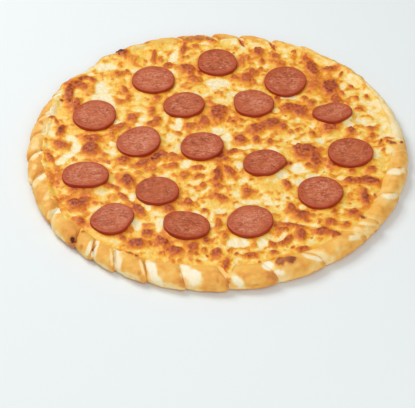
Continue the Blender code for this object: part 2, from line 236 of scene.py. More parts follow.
# Cheese that is smooth and yellow, in the same way
YELLOW_POOLS = (
    (213, 205, 16, 10, 90), (89, 88, 9, 13, 70), (61, 113, 12, 9, 90), (381, 166, 26, 10, 100, 78),
    (76, 130, 20, 8, 60), (337, 134.5, 20, 7, 90), (376, 205, 12, 8, 60, 60), (330, 213, 15, 8, 80),
    (145, 55, 16, 9, 80), (230, 207, 9, 9, 70), (270, 187, 32, 13, 90), (152, 250, 12, 7, 80),
    (226, 45, 12, 9, 80), (128, 64, 9, 8, 50), (137, 234, 12, 7, 90), (155, 43, 20, 5, 70),
    (355, 82, 12, 7, 50, -30), (232, 275, 8, 9, 60), (54, 192, 10, 9, 80), (79, 94, 9, 8, 100),
    (167, 151.5, 7, 5, 70), (150, 119, 7, 5, 80), (121, 72.5, 8, 4, 70), (135, 106, 30, 12, 50),
    (120, 84, 26, 9, 50), (162, 47, 24, 8, 60, 10), (140, 52, 20, 9, 60, 20),
)

# Dough that stayed white, in the same way, with one painted highlight on a lobe's rolled edge
CRUST_CREAM = (
    (59.5, 94.5, 12, 6, 90, 20), (52, 112, 13, 5, 90, 25), (47, 132, 11, 7, 80, 10), (47, 126, 14, 14, 40),
    (35, 143, 9, 16, 40, 10), (44, 152.5, 12, 4, 80, 5), (35, 156.5, 9, 4, 80, 45),
    # The row at (31.5, 182) is a painted highlight: light caught along a lobe's rolled lower edge
    (43.5, 175.5, 12, 5, 90, 35), (31.5, 182, 10, 4, 70, -55), (48, 195, 12, 5, 50, 50),
    (58, 210.5, 14, 6, 100, 15), (50, 215.5, 9, 6, 60, 60), (80.5, 254.5, 19, 3, 60, -32),
    (88.5, 249, 19, 5, 90, 66), (95, 249, 20, 5, 100, 72), (101.7, 266.7, 20, 5, 45, -32),
    (111.5, 258, 17, 3, 60, -85), (117.5, 261, 25, 8, 90, -85), (126.7, 276, 22, 5, 50, -18),
    (166, 285.5, 28, 6, 60, -8), (120, 273.5, 12, 5, 80, -20), (131, 276, 20, 5, 60, -18),
    (142, 267, 16, 3, 60, -75), (153.5, 273, 31, 10, 100, -66), (176, 288, 26, 3, 60, -5),
    (186, 269, 15, 9, 100, -30), (193, 275.5, 24, 15, 100, -36), (237.5, 281, 17, 8, 100, -50),
    (268, 265.5, 12, 9, 100, -20), (280.5, 272.5, 14, 6, 100, -12), (313, 257.5, 26, 4, 90, -14),
    (354.5, 237.5, 12, 6, 80), (362, 231, 20, 9, 50, 5), (368, 224, 20, 3.5, 50, -5),
    (391, 196.5, 17, 6, 85), (395.5, 171.5, 20, 7, 85, 6), (390, 150, 14, 8, 40, -20),
    (397, 128, 14, 30, 70, 10), (387, 107, 26, 11, 60, -52), (366, 87, 18, 10, 60, -40),
    (346, 75, 26, 9, 80, -32), (320, 61, 24, 6, 50, -22), (256, 45, 18, 6, 50, -8), (228, 42, 16, 5, 60, -8),
    (105, 67, 24, 8, 80, 10), (34, 166, 6, 4, 40, 80), (59, 236, 18, 4, 50, -48),
)

# Dough that browned more, in the same way
CRUST_BROWN = (
    (38.5, 159.5, 15, 6, 62, 5), (36.5, 173, 15, 7, 68, 60), (42, 121, 9, 5, 66, 20),
    (46, 208, 21, 6, 68, 45), (66, 224, 13, 10, 54), (81.7, 246.7, 11, 8, 82, 60), (103, 254, 12, 12, 54),
    (133, 260.5, 13, 8, 62, 10), (139, 273, 18, 7, 74, -75), (164, 268, 12, 9, 64),
    (177, 270, 8, 14, 66, 10), (215, 277, 13, 18, 61, 10), (217.5, 279, 19, 4, 72, -80),
    (213, 289, 18, 5, 66, -10), (243, 268, 24, 9, 62, -12), (257, 279, 26, 9, 57), (258, 285, 32, 4, 68, 4),
    (292, 281, 30, 5, 64, 10), (317, 271, 26, 5, 64, 22), (345, 255, 30, 5, 62, 32),
    (401, 160.5, 14, 11, 62, -30), (393, 183.5, 19, 13, 54), (388, 210, 26, 10, 62, 40),
    (393, 163, 7, 2, 74, 80), (408.5, 166, 3, 2, 90), (376, 231, 6, 3, 95, 30), (150, 42.5, 46, 3, 62, 11),
    (248, 36.5, 34, 3, 60, -7), (384, 103, 8, 6, 50), (199, 38.5, 40, 5, 66),
)

# Slits and a hole in the rim, in the same way: dented, and painted near black as the shade inside them
SHADED_RIM_HOLES = (
    (72.3, 240.3, 9, 10, 100), (241.3, 42.5, 14, 2.8, 95, -51), (272.5, 46.5, 14, 2.6, 90, -48),
    (114.3, 257.5, 14, 1.6, 70, 86), (92.5, 250, 15, 1.6, 75, 63), (62, 101, 4, 2.2, 70),
    (52, 118.3, 8, 2, 70, -12), (56.5, 122, 8, 2, 70, -62),
)
HOLE_DEPTH = 2.2 * MM

# Noise in the dough, as rows of strength, lumps' width and seed
FINE_DOUGH = (4.5 * MM, 4)
DOUGH_TONES = ((0.15, 14 * MM, 3), (0.09, *FINE_DOUGH), (0.07, 7 * MM, 10))
FOLD_RAGGED = ((0.06, 14 * MM, 3), (0.03, *FINE_DOUGH))
MARK_RAGGED = ((0.55, 7 * MM, 5), (0.25, *FINE_DOUGH))
OIL_RAGGED = ((0.45, 8 * MM, 9), (0.15, *FINE_DOUGH))
UNDERSIDE_TONES = ((0.16, 22 * MM, 6), (0.10, 7 * MM, 8))
DOUGH_LUMPS = ((0.55 * MM, 13 * MM, 11), (0.28 * MM, 5 * MM, 12))

# How brown the dough is, from 0, raw, to 1, burnt, and what its parts add or take
DOUGH_TOAST = 0.515
CREASE_TOAST = 0.16
# The foot's extra brown is painted warm bounce light from below
FOOT_BOUNCE_TINT = 0.18
UNDERSIDE_TOAST = 0.56
RAW_TOAST = 0.03
PALER_SIDE = 0.05
PALER_BEARING = math.radians(25)
BLISTER_RISE = 2.0 * MM

# Noise in the cheese, in the same way
BROAD_CHEESE = (13 * MM, 43)
BORDER_RAGGED = ((1.5, 0.14, 31), (1.2, 0.05, 32))
CHEESE_RAGGED = ((0.30, 5 * MM, 41), (0.14, 2.4 * MM, 42))
CHEESE_TONES = ((0.10, *BROAD_CHEESE), (0.10, 3.5 * MM, 49))
TOASTED_LUMPS = ((1.0, 6.5 * MM, 44), (0.4, 3.2 * MM, 45))
CHEESE_RELIEF = ((1.0 * MM, 19 * MM, 51), (0.7 * MM, 9 * MM, 52))

# How brown the parts of the cheese are, from 0, white, to 1, burnt
CHEESE_TOAST = 0.30
LUMP_TOAST = 0.57
HOLLOW_TOAST = 0.10
BORDER_TOAST = 0.38
HALO_TOAST = 0.66
CREAM_TOAST = 0.05
YELLOW_TOAST = 0.31
BLISTER_TOAST = 0.90
SCORCH_TOAST = 0.16
OILY_TOAST = 0.62
LOWER_EDGE_TOAST = 0.4

# How far the cheese's parts rise, and its thin skin on the rim
STRAND_RISE = 0.35 * MM
CHEESE_BLISTER_RISE = 1.9 * MM
SPOT_RISE = 0.6 * MM
TOASTED_RISE = 0.35 * MM
BLISTER_ROUGHNESS = 0.8 * MM
CREAM_DIP = 0.4 * MM
RIM_SKIN = 0.9 * MM
BORDER_TUCK = 0.35 * MM
CHEESE_HOLE_DEPTH = 1.2 * MM

# The cheese round a slice: how high it stands on the side, and from how far off it bends
COLLAR_HEIGHT_IN_MM = 1.75
COLLAR_REACH = 3.2 * MM
OILY_REACH = 2.6 * MM
BED_INSET = 1.3 * MM
BED_GAP = 0.2 * MM

SHRED_SEED = 7
SPECKLE_SEED = 23
SPECKLES = 260

# The hash that scatters the noise's slopes over its cells
HASH_STEPS = (73856093, 19349663, 83492791)
SLOPES = 4096
NOISE_GAIN = 1.6


def unit_colour(red, green, blue):
    """A colour given as the eye sees it, from 0 to 255, in the linear values that shaders take."""
    return tuple((part / 255) ** 2.2 for part in (red, green, blue)) + (1.0,)


def smooth_step(low, high, value):
    share = np.clip((value - low) / (high - low), 0.0, 1.0)
    return share * share * (3 - 2 * share)


def mix(low, high, share):
    return low + (high - low) * share


def stacked(*parts):
    return np.stack(parts, axis=-1)


def noise(points, cell, seed):
    """Smooth noise from about -1 to 1 at each point, with lumps about as wide as cell."""
    slopes = np.random.default_rng(seed).normal(size=(SLOPES, 3))
    slopes /= np.linalg.norm(slopes, axis=1, keepdims=True)
    scaled = points / cell
    whole = np.floor(scaled).astype(np.int64)
    part = scaled - whole
    ease = part**3 * (part * (part * 6 - 15) + 10)
    total = np.zeros(points.shape[:-1])
    for corner in np.ndindex(2, 2, 2):
        hashed = (whole + corner) * HASH_STEPS
        index = (hashed[..., 0] ^ hashed[..., 1] ^ hashed[..., 2]) % SLOPES
        reach = np.prod(np.where(np.array(corner) == 1, ease, 1 - ease), axis=-1)
        total += reach * np.sum(slopes[index] * (part - corner), axis=-1)
    return total * NOISE_GAIN


def layers(start, points, rows):
    """A starting value plus noise, given as rows of strength, lumps' width and seed."""
    total = start
    for strength, cell, seed in rows:
        total = total + strength * noise(points, cell, seed)
    return total


def new_object(name, data):
    obj = bpy.data.objects.new(name, data)
    bpy.context.scene.collection.objects.link(obj)
    return obj


def camera_axes():
    """The camera's place and its right, up and forward directions."""
    back = np.array([0.0, -math.cos(CAMERA_ELEVATION), math.sin(CAMERA_ELEVATION)])
    right = np.array([1.0, 0.0, 0.0])
    up = np.cross(right, -back)
    across = (ORIGIN_PIXEL[0] - PICTURE_WIDTH / 2) / FOCAL_PIXELS
    down = (ORIGIN_PIXEL[1] - PICTURE_HEIGHT / 2) / FOCAL_PIXELS
    forward = -back - across * right + down * up
    forward /= np.linalg.norm(forward)
    right = np.cross(forward, up)
    right /= np.linalg.norm(right)
    return back * CAMERA_DISTANCE, right, np.cross(right, forward), forward


def picture_place(points):
    """The pixel, across and down, that shows each point."""
    place, right, up, forward = camera_axes()
    away = points - place
    depth = away @ forward
    across = PICTURE_WIDTH / 2 + FOCAL_PIXELS * (away @ right) / depth
    down = PICTURE_HEIGHT / 2 - FOCAL_PIXELS * (away @ up) / depth
    return across, down


def patches(across, down, rows, ragged, inner, outer, power=2.0):
    """How strong the rows' marks are at each pixel: full within inner, none beyond outer.

    A mark is an ellipse at power 2, and squarer at more.
    """
    total = np.zeros(across.shape)
    for middle_across, middle_down, length, breadth, strength, *tilt in rows:
        turn = math.radians(tilt[0] if tilt else 0)
        dx = across - middle_across
        dy = middle_down - down
        along = (dx * math.cos(turn) + dy * math.sin(turn)) / (length / 2)
        aside = (dy * math.cos(turn) - dx * math.sin(turn)) / (breadth / 2)
        away = (np.abs(along) ** power + np.abs(aside) ** power) ** (1 / power) + ragged
        total = np.maximum(total, strength / 100 * smooth_step(outer, inner, away))
    return total


# Rim


def outer_radius(bearing):
    lobes = LOBE_HEIGHT * np.cos(3 * (bearing - LOBE_DIRECTION))
    return MEAN_RADIUS - OVAL_HEIGHT * np.cos(2 * bearing) + lobes + bumps(bearing, SHIFTED_EDGE)


def rim_width(bearing):
    width = RIM_WIDTH_IN_MM - NEAR_WIDENING_IN_MM * np.sin(bearing) + WIDTH_WAVER_IN_MM * np.cos(4 * bearing)
    return width * MM


def bumps(bearing, rows):
    """The sum of smooth bumps round the rim, given by bearing, half width and height."""
    total = np.zeros(np.shape(bearing))
    for middle, half_width, height in rows:
        away = (np.degrees(bearing) - middle + 180) % 360 - 180
        total += height * np.exp(-((away / half_width) ** 2))
    return total


def pleat_at(bearing):
    """Which pleat a bearing is in, and the share of the way along it."""
    starts = np.array([pleat[0] for pleat in PLEATS], float)
    spans = (np.roll(starts, -1) - starts) % 360
    degrees = (np.degrees(bearing) - starts[0]) % 360 + starts[0]
    index = np.searchsorted(starts, degrees, side="right") - 1
    return index, (degrees - starts[index]) / spans[index]


def fold_at(bearing):
    """The height of the pleats at a bearing: 1 on a crown, and less towards a deep crease."""
    index, share = pleat_at(bearing)
    depths = np.array([pleat[1] for pleat in PLEATS])
    shape = np.array(PLEAT_SHAPE)
    sunk = 1 - np.interp(share, shape[:, 0], shape[:, 1])
    depth = mix(depths[index], np.roll(depths, -1)[index], smooth_step(0.5, 1.0, share))
    return 1 - sunk * depth


def crust_sections(bearing):
    """The crust's outline on each bearing: insets from the outer edge, and heights."""
    sunk = 1 - fold_at(bearing)
    width = rim_width(bearing)
    crest = RIM_HEIGHT + bumps(bearing, BUBBLES + LOW_RIM)
    crest_inset = CREST_SHARE * width
    slope = width - crest_inset
    drop = PLEAT_DROP * sunk
    recess = PLEAT_RECESS * width * sunk
    rows = (
        (FOOT_INSET, 0.0),
        (0.4 * FOOT_INSET + 0.4 * recess, 0.1 * BELLY_HEIGHT + 0.35 * drop),
        (0.1 * FOOT_INSET + 0.7 * recess, 0.5 * BELLY_HEIGHT + 0.2 * drop),
        (recess, BELLY_HEIGHT - 0.1 * drop),
        (0.1 * crest_inset + recess, 0.64 * crest - 0.45 * drop),
        (0.48 * crest_inset + 0.7 * recess, 0.88 * crest - 0.85 * drop),
        (crest_inset, crest - drop),
        (crest_inset + 0.42 * slope, 0.96 * crest - 0.9 * drop),
        (crest_inset + 0.76 * slope, 0.84 * crest - 0.4 * drop),
        (width, BORDER_HEIGHT),
        (width + HOLLOW_STEP, BASE_THICKNESS + HOLLOW_STEP / 2),
        (width + 2 * HOLLOW_STEP, BASE_THICKNESS),
    )
    flat = np.zeros(np.shape(bearing))
    return np.stack([stacked(inset + flat, height + flat) for inset, height in rows], axis=1)


def lean_at(inset, bearing):
    across = np.minimum(1.0, inset / rim_width(bearing))
    return PLEAT_LEAN * (0.5 - across)


def crust_height(x, y):
    """The height of the crust's top at points of the plan, from the crest inwards."""
    x = x - CRUST_SHIFT[0]
    y = y - CRUST_SHIFT[1]
    bearing = np.arctan2(y, x)
    inset = outer_radius(bearing) - np.hypot(x, y)
    sections = crust_sections(bearing - lean_at(inset, bearing))
    height = sections[:, -1, 1]
    for row in reversed(range(CREST_ROW, sections.shape[1] - 1)):
        start, end = sections[:, row], sections[:, row + 1]
        share = np.clip((inset - start[:, 0]) / (end[:, 0] - start[:, 0]), 0.0, 1.0)
        height = np.where(inset < end[:, 0], mix(start[:, 1], end[:, 1], share), height)
    return height


def smooth_through(points, steps):
    """Points on a smooth curve through each row of points, with steps of them to a span."""
    padded = np.concatenate([points[:, :1], points, points[:, -1:]], axis=1)
    curve = []
    for i in range(points.shape[1] - 1):
        before, start, end, after = (padded[:, i + k] for k in range(4))
        for t in np.arange(steps) / steps:
            square = (2 * before - 5 * start + 4 * end - after) * t**2
            cube = (3 * start - before - 3 * end + after) * t**3
            curve.append(start + 0.5 * ((end - before) * t + (square + cube)))
    curve.append(points[:, -1])
    return np.stack(curve, axis=1)


def new_mesh(name, points, faces, values):
    """A smooth mesh object, with each named value stored at its points."""
    mesh = bpy.data.meshes.new(name)
    mesh.from_pydata(points.tolist(), [], faces)
    for key, numbers in values.items():
        layer = mesh.attributes.new(key, "FLOAT", "POINT")
        layer.data.foreach_set("value", np.asarray(numbers, np.float32).ravel())
    mesh.shade_smooth()
    return new_object(name, mesh)


def ring_faces(rings, around):
    """Faces of a closed skin from rings of points, the first and last ring capped."""
    ring = np.arange(rings - 1)[:, None] * around
    step = np.arange(around)[None, :]
    following = (step + 1) % around
    above = ring + around
    quads = stacked(ring + step, ring + following, above + following, above + step)
    faces = quads.reshape(-1, 4).tolist()
    faces.append(list(range(around))[::-1])
    faces.append(list(range((rings - 1) * around, rings * around)))
    return faces


def ring_normals(points):
    """Outward directions on a skin of rings, from its neighbours round and along."""
    round_it = np.roll(points, -1, axis=1) - np.roll(points, 1, axis=1)
    along = np.gradient(points, axis=0)
    normals = np.cross(round_it, along)
    return normals / np.maximum(np.linalg.norm(normals, axis=-1, keepdims=True), 1e-12)


def rim_bearings():
    """Bearings round the rim, closest together at each pleat's steep end."""
    shares = 1 - (1 - np.arange(STEPS_PER_PLEAT) / STEPS_PER_PLEAT) ** 1.5
    bearings = []
    for i, pleat in enumerate(PLEATS):
        span = (PLEATS[(i + 1) % len(PLEATS)][0] - pleat[0]) % 360
        bearings.append(np.radians(pleat[0] + span * shares))
    return np.concatenate(bearings)


def crust_toast(points, bearing):
    """How brown the crust is at each point, how oily it is there, and its blisters and holes."""
    index, share = pleat_at(bearing)
    columns = np.array(PLEATS).T
    depth, pale_share, paleness = (columns[k][index] for k in (1, 2, 3))
    across, down = picture_place(points)
    height = points[..., 2]
    inset = outer_radius(bearing) - np.hypot(points[..., 0] - CRUST_SHIFT[0], points[..., 1] - CRUST_SHIFT[1])
    across_rim = inset / rim_width(bearing)

    toast = layers(DOUGH_TOAST, points, DOUGH_TONES)
    toast += CREASE_TOAST * smooth_step(0.72, 0.97, share) * depth
    toast -= PALER_SIDE * smooth_step(0.15, 0.9, np.cos(bearing - PALER_BEARING))

    # The folds and marks that stayed pale, and one painted highlight
    ragged = layers(0.0, points, MARK_RAGGED)
    pale = smooth_step(pale_share + 0.10, pale_share - 0.06, layers(share, points, FOLD_RAGGED)) * paleness
    pale = np.maximum(pale, patches(across, down, CRUST_CREAM, 0.6 * ragged, 0.7, 1.2, 3.0))
    pale *= smooth_step(0.3 * MM, 2.0 * MM, height)
    raw = RAW_TOAST + 0.05 * noise(points, *FINE_DOUGH) + 0.10 * smooth_step(0.35, 0.0, across_rim)
    toast = mix(toast, raw, pale)

    # The foot, browned as painted warm light bounced up from below, the browner marks, the blisters, the
    # holes, painted near black as the shade inside them, and the underside
    toast += FOOT_BOUNCE_TINT * smooth_step(3.0 * MM, 0.8 * MM, height) * (1 - 0.5 * pale)
    toast = np.maximum(toast, mix(toast, patches(across, down, CRUST_BROWN, ragged, 0.0, 1.3), 0.8))
    brown = patches(across, down, BLISTERS, 0.4 * ragged, 0.75, 1.15) * (height > 6 * MM)
    holes = patches(across, down, SHADED_RIM_HOLES, 0.3 * ragged, 0.65, 1.1) * (height > 2 * MM)
    # The holes are painted near black: painted shade inside the slits
    toast = np.maximum(np.maximum(toast, brown), 1.1 * holes)
    toast = np.where(height < 0.3 * MM, layers(UNDERSIDE_TOAST, points, UNDERSIDE_TONES), toast)

    # The oil that ran up from the cheese, mostly at the near side and the right
    oil = smooth_step(0.40, 0.95, layers(across_rim, points, OIL_RAGGED))
    oil *= smooth_step(5 * MM, 8 * MM, height) * (1 - pale) * (1 - brown)
    oil *= 1 - 0.8 * smooth_step(0.3, 0.9, np.maximum(np.sin(bearing), -0.8 * np.cos(bearing)))
    return np.clip(toast, 0.0, 1.0), oil, brown, holes


def make_crust():
    bearings = rim_bearings()
    sections = smooth_through(crust_sections(bearings), STEPS_PER_SPAN)
    insets = sections[..., 0].T
    heights = sections[..., 1].T
    bearing = np.broadcast_to(bearings, insets.shape)
    turned = bearing + lean_at(insets, bearing)
    radius = outer_radius(bearing) - insets
    under = []
    for share in UNDERSIDE_RINGS:
        reach = share * radius[0]
        under.append(stacked(reach * np.cos(bearings), reach * np.sin(bearings), 0 * bearings))
    skin = stacked(radius * np.cos(turned), radius * np.sin(turned), heights)
    points = np.concatenate([np.stack(under), skin])
    points[..., :2] += CRUST_SHIFT
    bearing = np.concatenate([np.broadcast_to(bearings, (len(under), len(bearings))), bearing])
    toast, oil, brown, holes = crust_toast(points, bearing)
    lift = layers(0.0, points, DOUGH_LUMPS)
    lift += BLISTER_RISE * brown * (0.7 + 0.4 * noise(points, 2.5 * MM, 13)) - HOLE_DEPTH * holes
    lift *= smooth_step(0.3, 3.0, points[..., 2] / MM)
    points = points + lift[..., None] * ring_normals(points)
    points[..., 2] = np.maximum(points[..., 2], 0.0)
    faces = ring_faces(*points.shape[:2])
    return new_mesh("baked_crust", points.reshape(-1, 3), faces, {"toast": toast, "oil": 0.75 * oil})


# Sausage slices


class Slice:
    """The place and outline of one slice, read from its solid."""

    def __init__(self, node, corners):
        points = np.array([vertex.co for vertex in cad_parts[node].data.vertices])
        self.node = node
        self.middle = points.mean(axis=0)
        _, _, axes = np.linalg.svd(points - self.middle)
        self.normal = axes[2] * np.sign(axes[2][2])
        self.right = np.cross([0.0, 1.0, 0.0], self.normal)
        self.right /= np.linalg.norm(self.right)
        self.up = np.cross(self.normal, self.right)
        away = points - self.middle
        self.half = np.abs(away @ self.normal).max()
        x, y = away @ self.right, away @ self.up
        angle, radius = np.arctan2(y, x), np.hypot(x, y)
        self.angles = np.linspace(-math.pi, math.pi, SLICE_BEARINGS, endpoint=False)
        apart = np.abs((angle - self.angles[:, None] + math.pi) % (2 * math.pi) - math.pi)
        self.radii = np.where(apart < BEARING_REACH, radius, 0.0).max(axis=1)
        corners = [(direction, CORNER_HALF_WIDTH, amount * MM) for direction, amount in corners]
        self.radii += bumps(self.angles, corners)

    def radius_at(self, angle):
        return np.interp(angle, self.angles, self.radii, period=2 * math.pi)

    def plane_height(self, x, y, level):
        """The height, over a point of the plan, of the plane that lies level above the slice's middle."""
        dx, dy = x - self.middle[0], y - self.middle[1]
        rise = (self.normal[0] * dx + self.normal[1] * dy) / self.normal[2]
        return self.middle[2] + level / self.normal[2] - rise


def slice_rows(half):
    """Rings of a slice from underneath to on top: share of the radius, how far past it, and level."""
    rows = [(share, 0.0, -half) for share in (0.06, 0.4, 0.8)]
    rounding = np.linspace(0, math.pi / 2, 6)
    for turn in rounding[::-1]:
        rows.append((1.0, -SLICE_EDGE * (1 - math.cos(turn)), -half + SLICE_EDGE * (1 - math.sin(turn))))
    rows += [(1.0, SLICE_BULGE, half * level) for level in (-0.35, 0.0, 0.35)]
    for turn in rounding[::-1]:
        rows.append((1.0, -SLICE_EDGE * (1 - math.sin(turn)), half - SLICE_EDGE * (1 - math.cos(turn))))
    rows += [(share, 0.0, half) for share in np.linspace(0.06, 0.95, 20)[::-1]]
    return np.array(rows).T[..., None]


def make_slice(number, piece, material):
    """A slice of sausage: a flat face with a faint dish and lip, a rounded edge and a bulging side."""
    angle = np.linspace(-math.pi, math.pi, SLICE_STEPS, endpoint=False)
    outline = piece.radius_at(angle)
    seed = 100 + number
    outline = np.convolve(np.tile(outline, 3), np.ones(7) / 7, mode="same")[SLICE_STEPS:-SLICE_STEPS]
    share, past, level = slice_rows(piece.half)
    radius = np.minimum(share * (outline + past), outline + SLICE_BULGE)
    level = level + 0 * radius
    share = radius / outline
    x, y = radius * np.cos(angle), radius * np.sin(angle)
    place = stacked(x, y, 0 * x)
    top = level > 0
    swell = layers(0.0, place + seed, ((0.32 * MM, 15 * MM, seed), (0.10 * MM, 4 * MM, seed + 1)))
    lip = 0.35 * MM * smooth_step(0.72, 0.95, share) - 0.15 * MM
    level = level + np.where(top, (swell + lip) * smooth_step(1.02, 0.9, share), 0.0)
    points = piece.middle + x[..., None] * piece.right + y[..., None] * piece.up
    points = points + level[..., None] * piece.normal
    side = smooth_step(piece.half * 0.9, piece.half * 0.35, level)
    tone = np.full(share.shape, np.random.default_rng(seed).uniform(0.0, 1.0))
    tone += 0.7 * noise(points, 16 * MM, seed + 2)
    faces = ring_faces(*points.shape[:2])
    values = {"edge": np.where(top, share, 1.0), "side": side, "tone": tone}
    obj = new_mesh(f"slice_{number:02d}", points.reshape(-1, 3), faces, values)
    obj.data.materials.append(material)
    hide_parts(piece.node)
    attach(obj, "root")
    return obj


# Cheese


def disc_grid(count):
    """A square grid of points bent onto the unit disc, with even cells."""
    a, b = np.meshgrid(np.linspace(-1, 1, count), np.linspace(-1, 1, count), indexing="ij")
    wide = np.abs(a) > np.abs(b)
    safe_a = np.where(a == 0, 1.0, a)
    safe_b = np.where(b == 0, 1.0, b)
    radius = np.where(wide, a, b)
    angle = np.where(wide, math.pi / 4 * b / safe_a, math.pi / 2 - math.pi / 4 * a / safe_b)
    return radius * np.cos(angle), radius * np.sin(angle)


def speckle_rows(across, down):
    """Small browned spots scattered over the cheese, as rows of patches."""
    chooser = np.random.default_rng(SPECKLE_SEED)
    rows = []
    for index in chooser.integers(0, across.size, SPECKLES):
        size = chooser.uniform(2.0, 5.5)
        length = size * chooser.uniform(1.0, 1.8)
        tilt = chooser.uniform(-40, 40)
        strength = chooser.uniform(50, 78)
        rows.append((across.flat[index], down.flat[index], length, size, strength, tilt))
    return rows


def shreds(points, seed):
    """Ridges like strands of grated cheese that melted together, 1 on a strand and 0 between."""
    bend = np.stack([noise(points, 11 * MM, seed + k) for k in range(3)], axis=-1)
    fine = 1 - np.abs(noise(points + 5 * MM * bend, 4.6 * MM, seed + 5)) * 2.4
    return np.clip(fine, 0.0, 1.0)


def cheese_marks(flat, across, down):
    """How much of each kind of mark lies at each point of the cheese."""
    ragged = layers(0.0, flat, CHEESE_RAGGED)
    return {
        "brown": patches(across, down, BLISTERS, ragged, 0.64, 1.12),
        "halo": patches(across, down, BLISTERS, 1.3 * ragged, 0.9, 2.1),
        "cream": patches(across, down, CREAM_POOLS, ragged, 0.65, 1.2),
        "yellow": patches(across, down, YELLOW_POOLS, ragged, 0.65, 1.2),
        "spots": patches(across, down, speckle_rows(across, down), ragged, 0.5, 1.2),
        "holes": patches(across, down, SHADED_RIM_HOLES, 0.2 * ragged, 0.5, 1.2),
    }


def cheese_toast(flat, inward, marks):
    """How brown the cheese is at each point, from 0, white, to 1, burnt."""
    brown, cream = marks["brown"], marks["cream"]
    broad = noise(flat, *BROAD_CHEESE)
    lumps = layers(0.0, flat, TOASTED_LUMPS)
    toast = layers(CHEESE_TOAST, flat, CHEESE_TONES)
    golden = LUMP_TOAST + 0.13 * noise(flat, 2.8 * MM, 40)
    toast = mix(toast, golden, smooth_step(0.05, 0.45, lumps + 0.35 * broad))
    toast = mix(toast, HOLLOW_TOAST, 0.8 * smooth_step(0.16, 0.48, -lumps - 0.2 * broad))
    border = BORDER_TOAST + 0.10 * noise(flat, 5 * MM, 50)
    toast = mix(border, toast, 0.3 + 0.7 * smooth_step(1.0 * MM, 5.0 * MM, inward))
    toast = np.maximum(toast, marks["spots"] * (1 - 0.8 * cream))
    toast = np.maximum(toast, mix(toast, HALO_TOAST, marks["halo"] * 0.85))
    white = CREAM_TOAST + 0.12 * np.clip(noise(flat, 4 * MM, 46) + 0.4, 0, 1)
    toast = mix(toast, white, np.clip(cream * 1.1, 0, 1) * (1 - brown))
    toast = mix(toast, YELLOW_TOAST + 0.06 * noise(flat, 4 * MM, 47), marks["yellow"] * (1 - brown))
    scorched = smooth_step(0.35, 0.62, brown) * smooth_step(0.88, 0.66, brown)
    blister = BLISTER_TOAST + SCORCH_TOAST * scorched + 0.24 * noise(flat, 2.4 * MM, 48)
    toast = np.maximum(toast, brown * blister)
    # The rim's slits and hole are painted dark on the cheese too: painted shade
    return np.maximum(toast, 0.95 * marks["holes"])


def cheese_height(flat, crust, inward, toast, marks):
    """The height of the cheese: a lumpy pool, or a thin skin on the rim, with its border tucked in."""
    brown = marks["brown"]
    strand = shreds(flat, SHRED_SEED)
    relief = layers(0.0, flat, CHEESE_RELIEF)
    relief += STRAND_RISE * (strand - 0.4) * (1 - 0.5 * brown)
    relief += (CHEESE_BLISTER_RISE * smooth_step(0.1, 0.7, brown) + SPOT_RISE * marks["spots"]
               + TOASTED_RISE * smooth_step(0.3, 0.6, toast))
    relief += BLISTER_ROUGHNESS * brown * noise(flat, 2.6 * MM, 53) - CREAM_DIP * marks["cream"]
    skin = crust + RIM_SKIN * smooth_step(0.0, 3 * MM, inward) + 0.4 * MM * (strand - 0.4) + 1.0 * MM * brown
    height = np.maximum(CHEESE_LEVEL + relief, skin)
    tucked = crust - BORDER_TUCK
    return mix(tucked, height, smooth_step(0.0, 2.6 * MM, inward)) - CHEESE_HOLE_DEPTH * marks["holes"]


def make_cheese(slices):
    unit_x, unit_y = disc_grid(CHEESE_GRID)
    shape = unit_x.shape
    unit_x, unit_y = unit_x.ravel(), unit_y.ravel()
    bearing = np.arctan2(unit_y, unit_x)
    circle = stacked(np.cos(bearing), np.sin(bearing), 0 * bearing)
    lap = CHEESE_LAP * layers(1, circle, BORDER_RAGGED)
    reach = outer_radius(bearing) - rim_width(bearing) + lap + bumps(bearing, CHEESE_TONGUES)
    inward = (1 - np.hypot(unit_x, unit_y)) * reach
    x = reach * unit_x + CRUST_SHIFT[0]
    y = reach * unit_y + CRUST_SHIFT[1]
    flat = stacked(x, y, 0 * x)
    crust = crust_height(x, y)
    across, down = picture_place(stacked(x, y, np.maximum(crust, CHEESE_LEVEL)))
    marks = cheese_marks(flat, across, down)
    toast = cheese_toast(flat, inward, marks)
    height = cheese_height(flat, crust, inward, toast, marks)
    height, oily = seat_slices(flat, height, slices)
    toast = np.maximum(toast, mix(toast, OILY_TOAST, 0.55 * oily * (1 - marks["cream"])))
    toast = np.clip(toast, 0.0, 1.0)

    points = stacked(x, y, height)
    index = np.arange(points.shape[0]).reshape(shape)
    quads = stacked(index[:-1, :-1], index[1:, :-1], index[1:, 1:], index[:-1, 1:])
    faces = quads.reshape(-1, 4).tolist()
    border = np.concatenate([index[:-1, 0], index[-1, :-1], index[:0:-1, -1], index[0, :0:-1]])
    below = points[border] * [0.97, 0.97, 1.0]
    below[:, 2] = BASE_THICKNESS + 0.5 * MM
    lower = np.arange(len(border)) + len(points)
    following = np.roll(np.arange(len(border)), -1)
    faces += stacked(border[following], border, lower, lower[following]).tolist()
    faces.append(lower[::-1].tolist())
    every = np.concatenate([points, below])
    toast = np.concatenate([toast, np.full(len(below), LOWER_EDGE_TOAST)])
    return new_mesh("baked_cheese", every, faces, {"toast": toast})


